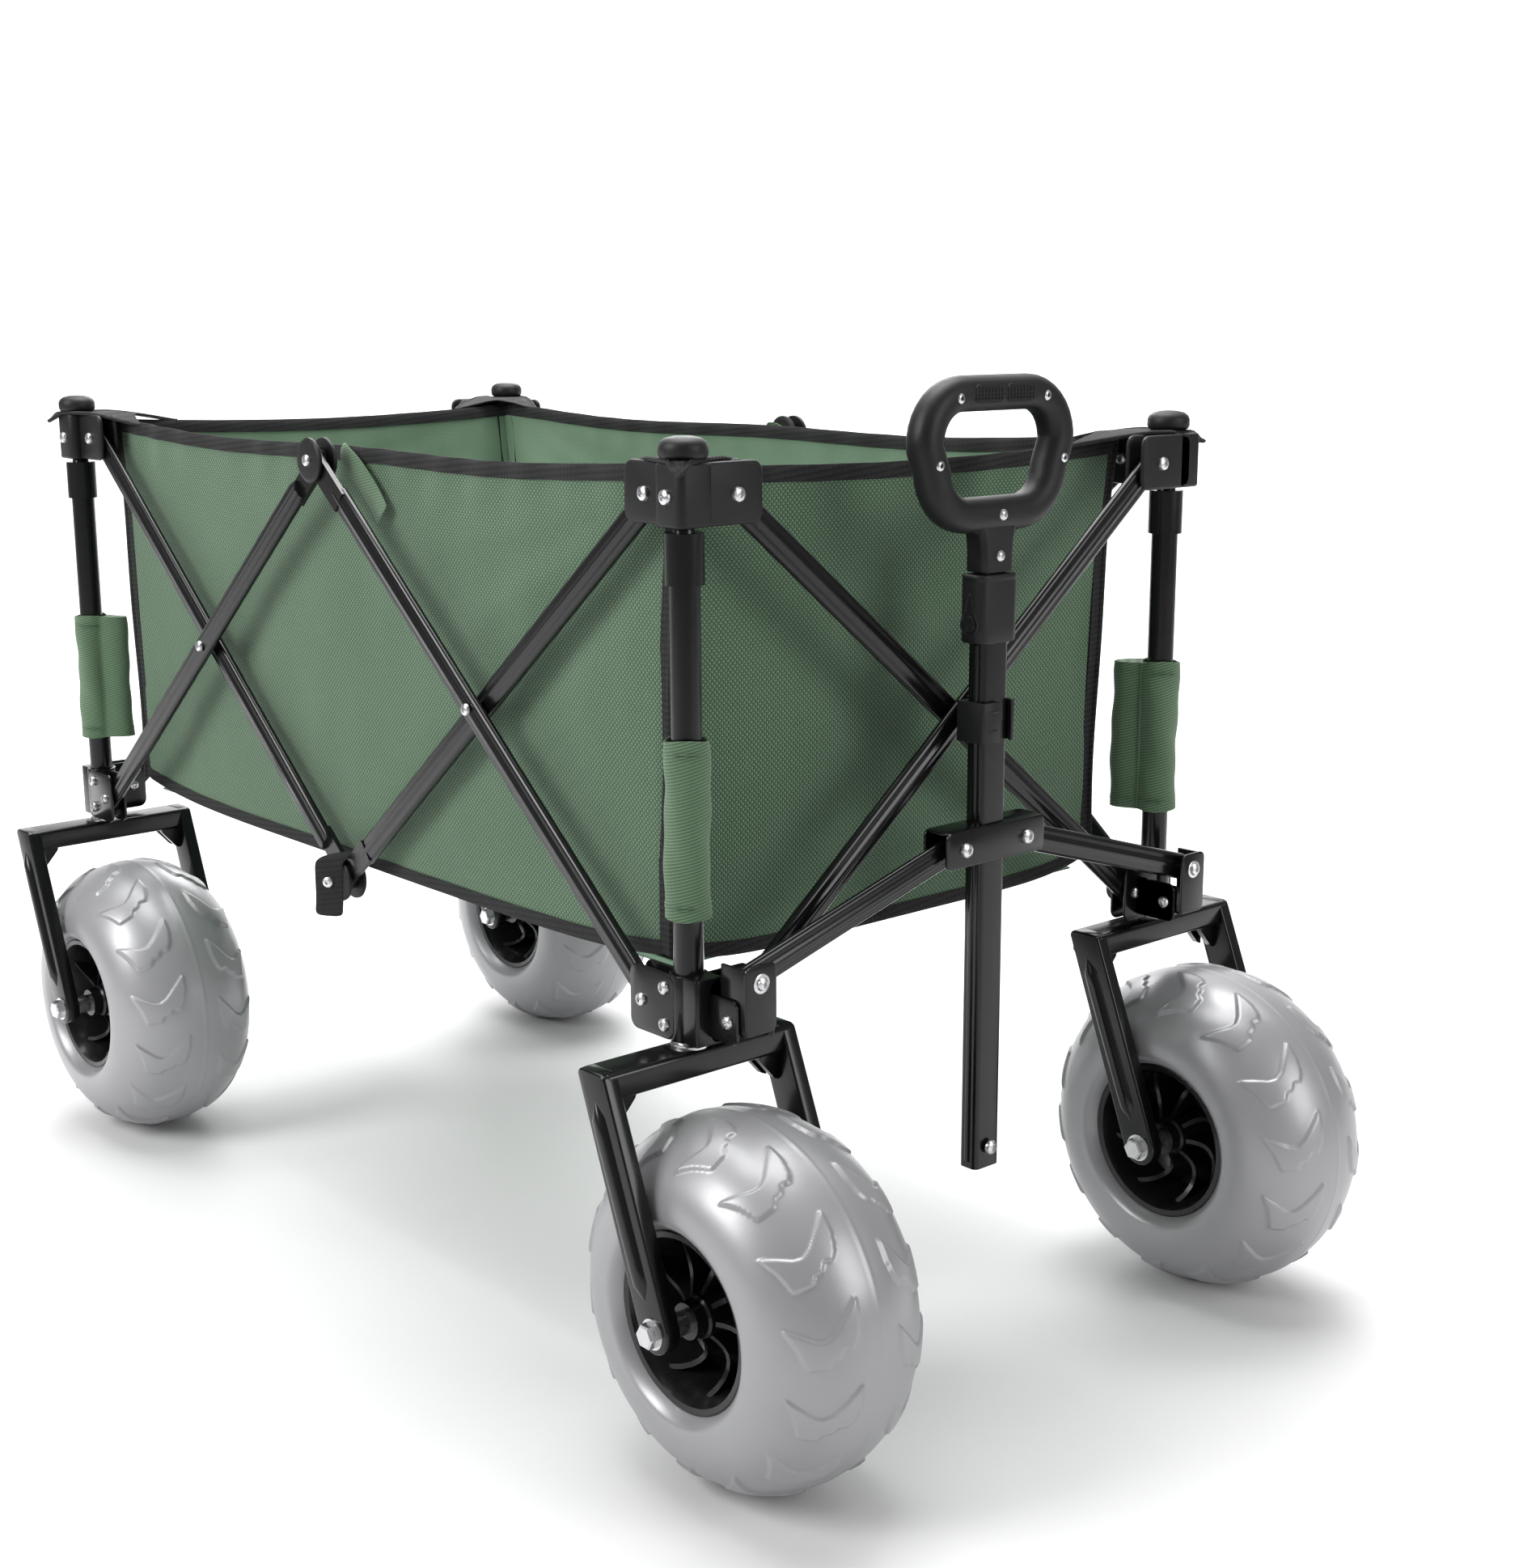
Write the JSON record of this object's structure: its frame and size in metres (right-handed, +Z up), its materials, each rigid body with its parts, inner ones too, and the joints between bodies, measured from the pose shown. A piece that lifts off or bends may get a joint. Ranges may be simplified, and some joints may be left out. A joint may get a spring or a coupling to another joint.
{
  "type": "folding beach cart",
  "caption": "Collapsible cart with a scissor frame, hanging fabric bag, balloon caster wheels and a telescoping pull handle.",
  "frame": {"origin": "on the ground, in the middle between the four corner posts", "axes": "+X to the handle end, +Y to the left, +Z up"},
  "size_m": [1.35, 0.773, 0.85],
  "materials": {
    "black_steel": "gloss black powder coat",
    "black_plastic": "satin black moulded plastic",
    "tyre": "satin light grey balloon tyre",
    "rim": "satin black plastic",
    "green_fabric": "woven green cloth",
    "green_lining": "smooth green cloth"
  },
  "bodies": {
    "post_front_right": {"lower_post_fr": "black_steel", "bottom_bracket_fr": "black_steel"},
    "post_front_left": {"lower_post_fl": "black_steel", "bottom_bracket_fl": "black_steel"},
    "post_rear_right": {"lower_post_rr": "black_steel", "bottom_bracket_rr": "black_steel"},
    "post_rear_left": {"lower_post_rl": "black_steel", "bottom_bracket_rl": "black_steel"},
    "top_front_right": {"top_bracket_fr": "black_plastic", "bag_side_right": "green_fabric", "bag_end_front": "green_fabric"},
    "top_front_left": {"top_bracket_fl": "black_plastic", "bag_side_left": "green_fabric"},
    "top_rear_right": {"top_bracket_rr": "black_plastic", "bag_end_rear": "green_fabric"},
    "top_rear_left": {"top_bracket_rl": "black_plastic"},
    "bar_outer_front_right": {"side_bar_outer_fr": "black_steel"},
    "bar_inner_front_right": {"side_bar_inner_fr": "black_steel"},
    "bar_outer_front_left": {"side_bar_outer_fl": "black_steel"},
    "bar_inner_front_left": {"side_bar_inner_fl": "black_steel"},
    "bar_outer_rear_right": {"side_bar_outer_rr": "black_steel"},
    "bar_inner_rear_right": {"side_bar_inner_rr": "black_steel"},
    "bar_outer_rear_left": {"side_bar_outer_rl": "black_steel"},
    "bar_inner_rear_left": {"side_bar_inner_rl": "black_steel"},
    "cross_outer_front": {"end_bar_outer_front": "black_steel"},
    "cross_inner_front": {"end_bar_inner_front": "black_steel"},
    "cross_outer_rear": {"end_bar_outer_rear": "black_steel"},
    "cross_inner_rear": {"end_bar_inner_rear": "black_steel"},
    "joint_top_right": {"top_joint_right": "black_steel"},
    "joint_bottom_right": {"bottom_joint_right": "black_steel"},
    "joint_top_left": {"top_joint_left": "black_steel"},
    "joint_bottom_left": {"bottom_joint_left": "black_steel"},
    "caster_front_right": {"fork_fr": "black_steel"},
    "wheel_front_right": {"tyre_fr": "tyre", "hub_fr": "rim"},
    "caster_front_left": {"fork_fl": "black_steel"},
    "wheel_front_left": {"tyre_fl": "tyre", "hub_fl": "rim"},
    "caster_rear_right": {"fork_rr": "black_steel"},
    "wheel_rear_right": {"tyre_rr": "tyre", "hub_rr": "rim"},
    "caster_rear_left": {"fork_rl": "black_steel"},
    "wheel_rear_left": {"tyre_rl": "tyre", "hub_rl": "rim"},
    "channel_right": {"handle_channel_right": "black_steel"},
    "channel_left": {"handle_channel_left": "black_steel"},
    "arm_right": {"handle_arm_right": "black_steel"},
    "arm_left": {"handle_arm_left": "black_steel"},
    "handle": {"handle_bracket": "black_steel", "handle_tube": "black_steel", "handle_collar": "black_plastic", "handle_clip": "black_plastic"},
    "pull": {"inner_tube": "black_steel", "grip": "black_plastic"},
    "button": {"lock_button": "black_plastic"},
    "floor_right": {"bag_floor_right": "green_lining", "mat_right": "green_lining"},
    "floor_left": {"bag_floor_left": "green_lining", "mat_left": "green_lining"}
  },
  "joints": [
    {"name": "fold", "type": "hinge", "parent": "post_front_right", "child": "bar_outer_front_right", "pos_m": [0.485, -0.2825, 0.369], "axis": [0, 1, 0], "range_deg": [0, 33.6], "deforming": ["bag_side_right", "bag_side_left", "bag_end_front", "bag_end_rear", "bag_floor_right", "bag_floor_left", "mat_right", "mat_left"]},
    {"name": "cross_front_right", "type": "hinge", "parent": "bar_outer_front_right", "child": "bar_inner_front_right", "pos_m": [0.2425, -0.2825, 0.568], "axis": [0, 1, 0], "range_deg": [-67.24, 0]},
    {"name": "joint_top_right", "type": "hinge", "parent": "bar_outer_front_right", "child": "joint_top_right", "pos_m": [0, -0.2825, 0.767], "axis": [0, 1, 0], "range_deg": [-33.62, 0]},
    {"name": "joint_bottom_right", "type": "hinge", "parent": "bar_inner_front_right", "child": "joint_bottom_right", "pos_m": [0, -0.2825, 0.369], "axis": [0, 1, 0], "range_deg": [0, 33.62]},
    {"name": "top_mid_right", "type": "hinge", "parent": "bar_outer_front_right", "child": "bar_outer_rear_right", "pos_m": [0, -0.2825, 0.767], "axis": [0, 1, 0], "range_deg": [-67.24, 0]},
    {"name": "cross_rear_right", "type": "hinge", "parent": "bar_outer_rear_right", "child": "bar_inner_rear_right", "pos_m": [-0.2425, -0.2825, 0.568], "axis": [0, 1, 0], "range_deg": [0, 67.24]},
    {"name": "post_rear_right", "type": "hinge", "parent": "bar_outer_rear_right", "child": "post_rear_right", "pos_m": [-0.485, -0.2825, 0.369], "axis": [0, 1, 0], "range_deg": [0, 33.62]},
    {"name": "top_front_right", "type": "hinge", "parent": "bar_inner_front_right", "child": "top_front_right", "pos_m": [0.485, -0.2825, 0.767], "axis": [0, 1, 0], "range_deg": [0, 33.62]},
    {"name": "top_rear_right", "type": "hinge", "parent": "bar_inner_rear_right", "child": "top_rear_right", "pos_m": [-0.485, -0.2825, 0.767], "axis": [0, 1, 0], "range_deg": [-33.62, 0]},
    {"name": "cross_front_outer", "type": "hinge", "parent": "post_front_right", "child": "cross_outer_front", "pos_m": [0.525, -0.2425, 0.369], "axis": [1, 0, 0], "range_deg": [0, 33.62]},
    {"name": "cross_front_inner", "type": "hinge", "parent": "cross_outer_front", "child": "cross_inner_front", "pos_m": [0.525, 0, 0.568], "axis": [1, 0, 0], "range_deg": [-67.24, 0]},
    {"name": "post_front_left", "type": "hinge", "parent": "cross_inner_front", "child": "post_front_left", "pos_m": [0.525, 0.2425, 0.369], "axis": [1, 0, 0], "range_deg": [0, 33.62]},
    {"name": "top_front_left", "type": "hinge", "parent": "cross_outer_front", "child": "top_front_left", "pos_m": [0.525, 0.2425, 0.767], "axis": [1, 0, 0], "range_deg": [-33.62, 0]},
    {"name": "bar_front_left", "type": "hinge", "parent": "post_front_left", "child": "bar_outer_front_left", "pos_m": [0.485, 0.2825, 0.369], "axis": [0, 1, 0], "range_deg": [0, 33.62]},
    {"name": "cross_front_left", "type": "hinge", "parent": "bar_outer_front_left", "child": "bar_inner_front_left", "pos_m": [0.2425, 0.2825, 0.568], "axis": [0, 1, 0], "range_deg": [-67.24, 0]},
    {"name": "joint_top_left", "type": "hinge", "parent": "bar_outer_front_left", "child": "joint_top_left", "pos_m": [0, 0.2825, 0.767], "axis": [0, 1, 0], "range_deg": [-33.62, 0]},
    {"name": "joint_bottom_left", "type": "hinge", "parent": "bar_inner_front_left", "child": "joint_bottom_left", "pos_m": [0, 0.2825, 0.369], "axis": [0, 1, 0], "range_deg": [0, 33.62]},
    {"name": "top_mid_left", "type": "hinge", "parent": "bar_outer_front_left", "child": "bar_outer_rear_left", "pos_m": [0, 0.2825, 0.767], "axis": [0, 1, 0], "range_deg": [-67.24, 0]},
    {"name": "cross_rear_left", "type": "hinge", "parent": "bar_outer_rear_left", "child": "bar_inner_rear_left", "pos_m": [-0.2425, 0.2825, 0.568], "axis": [0, 1, 0], "range_deg": [0, 67.24]},
    {"name": "post_rear_left", "type": "hinge", "parent": "bar_outer_rear_left", "child": "post_rear_left", "pos_m": [-0.485, 0.2825, 0.369], "axis": [0, 1, 0], "range_deg": [0, 33.62]},
    {"name": "top_rear_left", "type": "hinge", "parent": "bar_inner_rear_left", "child": "top_rear_left", "pos_m": [-0.485, 0.2825, 0.767], "axis": [0, 1, 0], "range_deg": [-33.62, 0]},
    {"name": "cross_rear_outer", "type": "hinge", "parent": "post_rear_right", "child": "cross_outer_rear", "pos_m": [-0.525, -0.2425, 0.369], "axis": [1, 0, 0], "range_deg": [0, 33.62]},
    {"name": "cross_rear_inner", "type": "hinge", "parent": "cross_outer_rear", "child": "cross_inner_rear", "pos_m": [-0.525, 0, 0.568], "axis": [1, 0, 0], "range_deg": [-67.24, 0]},
    {"name": "handle_tilt", "type": "hinge", "parent": "post_front_right", "child": "channel_right", "pos_m": [0.571, -0.2625, 0.367], "axis": [0, 1, 0], "range_deg": [0, 75]},
    {"name": "arm_right_low", "type": "hinge", "parent": "channel_right", "child": "arm_right", "pos_m": [0.572, -0.2625, 0.398], "axis": [1, 0, 0], "range_deg": [0, 54.93]},
    {"name": "arm_right_high", "type": "hinge", "parent": "arm_right", "child": "handle", "pos_m": [0.572, -0.037, 0.465], "axis": [1, 0, 0], "range_deg": [-54.93, 0]},
    {"name": "arm_left_high", "type": "hinge", "parent": "handle", "child": "arm_left", "pos_m": [0.572, 0.037, 0.465], "axis": [1, 0, 0], "range_deg": [-54.93, 0]},
    {"name": "arm_left_low", "type": "hinge", "parent": "arm_left", "child": "channel_left", "pos_m": [0.572, 0.2625, 0.398], "axis": [1, 0, 0], "range_deg": [0, 54.93]},
    {"name": "handle_slide", "type": "slide", "parent": "handle", "child": "pull", "axis": [0, 0, 1], "range_m": [0, 0.3]},
    {"name": "button_press", "type": "slide", "parent": "handle", "child": "button", "axis": [0, 1, 0], "range_m": [0, 0.003], "stiffness_N_per_m": 300},
    {"name": "swivel_front_right", "type": "hinge", "parent": "post_front_right", "child": "caster_front_right", "pos_m": [0.525, -0.2825, 0.34], "axis": [0, 0, 1], "continuous": true},
    {"name": "roll_front_right", "type": "hinge", "parent": "caster_front_right", "child": "wheel_front_right", "pos_m": [0.597, -0.2825, 0.15], "axis": [0, 1, 0], "continuous": true},
    {"name": "swivel_front_left", "type": "hinge", "parent": "post_front_left", "child": "caster_front_left", "pos_m": [0.525, 0.2825, 0.34], "axis": [0, 0, 1], "continuous": true},
    {"name": "roll_front_left", "type": "hinge", "parent": "caster_front_left", "child": "wheel_front_left", "pos_m": [0.597, 0.2825, 0.15], "axis": [0, 1, 0], "continuous": true},
    {"name": "swivel_rear_right", "type": "hinge", "parent": "post_rear_right", "child": "caster_rear_right", "pos_m": [-0.525, -0.2825, 0.34], "axis": [0, 0, 1], "continuous": true},
    {"name": "roll_rear_right", "type": "hinge", "parent": "caster_rear_right", "child": "wheel_rear_right", "pos_m": [-0.453, -0.2825, 0.15], "axis": [0, 1, 0], "continuous": true},
    {"name": "swivel_rear_left", "type": "hinge", "parent": "post_rear_left", "child": "caster_rear_left", "pos_m": [-0.525, 0.2825, 0.34], "axis": [0, 0, 1], "continuous": true},
    {"name": "roll_rear_left", "type": "hinge", "parent": "caster_rear_left", "child": "wheel_rear_left", "pos_m": [-0.453, 0.2825, 0.15], "axis": [0, 1, 0], "continuous": true},
    {"name": "floor_right", "type": "hinge", "parent": "top_front_right", "child": "floor_right", "pos_m": [0, -0.2545, 0.376], "axis": [1, 0, 0], "range_deg": [0, 67]},
    {"name": "floor_left", "type": "hinge", "parent": "top_front_left", "child": "floor_left", "pos_m": [0, 0.2545, 0.376], "axis": [1, 0, 0], "range_deg": [-67, 0]}
  ],
  "couplings": [
    {"joint": "cross_front_right", "follows": "fold", "ratio": -2},
    {"joint": "joint_top_right", "follows": "fold", "ratio": -1},
    {"joint": "joint_bottom_right", "follows": "fold", "ratio": 1},
    {"joint": "top_mid_right", "follows": "fold", "ratio": -2},
    {"joint": "cross_rear_right", "follows": "fold", "ratio": 2},
    {"joint": "post_rear_right", "follows": "fold", "ratio": 1},
    {"joint": "top_front_right", "follows": "fold", "ratio": 1},
    {"joint": "top_rear_right", "follows": "fold", "ratio": -1},
    {"joint": "cross_front_outer", "follows": "fold", "ratio": 1},
    {"joint": "cross_front_inner", "follows": "fold", "ratio": -2},
    {"joint": "post_front_left", "follows": "fold", "ratio": 1},
    {"joint": "top_front_left", "follows": "fold", "ratio": -1},
    {"joint": "bar_front_left", "follows": "fold", "ratio": 1},
    {"joint": "cross_front_left", "follows": "fold", "ratio": -2},
    {"joint": "joint_top_left", "follows": "fold", "ratio": -1},
    {"joint": "joint_bottom_left", "follows": "fold", "ratio": 1},
    {"joint": "top_mid_left", "follows": "fold", "ratio": -2},
    {"joint": "cross_rear_left", "follows": "fold", "ratio": 2},
    {"joint": "post_rear_left", "follows": "fold", "ratio": 1},
    {"joint": "top_rear_left", "follows": "fold", "ratio": -1},
    {"joint": "cross_rear_outer", "follows": "fold", "ratio": 1},
    {"joint": "cross_rear_inner", "follows": "fold", "ratio": -2},
    {"joint": "arm_right_low", "follows": "fold", "ratio": 1.6338},
    {"joint": "arm_right_high", "follows": "fold", "ratio": -1.6338},
    {"joint": "arm_left_high", "follows": "fold", "ratio": -1.6338},
    {"joint": "arm_left_low", "follows": "fold", "ratio": 1.6338},
    {"joint": "floor_right", "follows": "fold", "ratio": 1.9929},
    {"joint": "floor_left", "follows": "fold", "ratio": -1.9929}
  ]
}
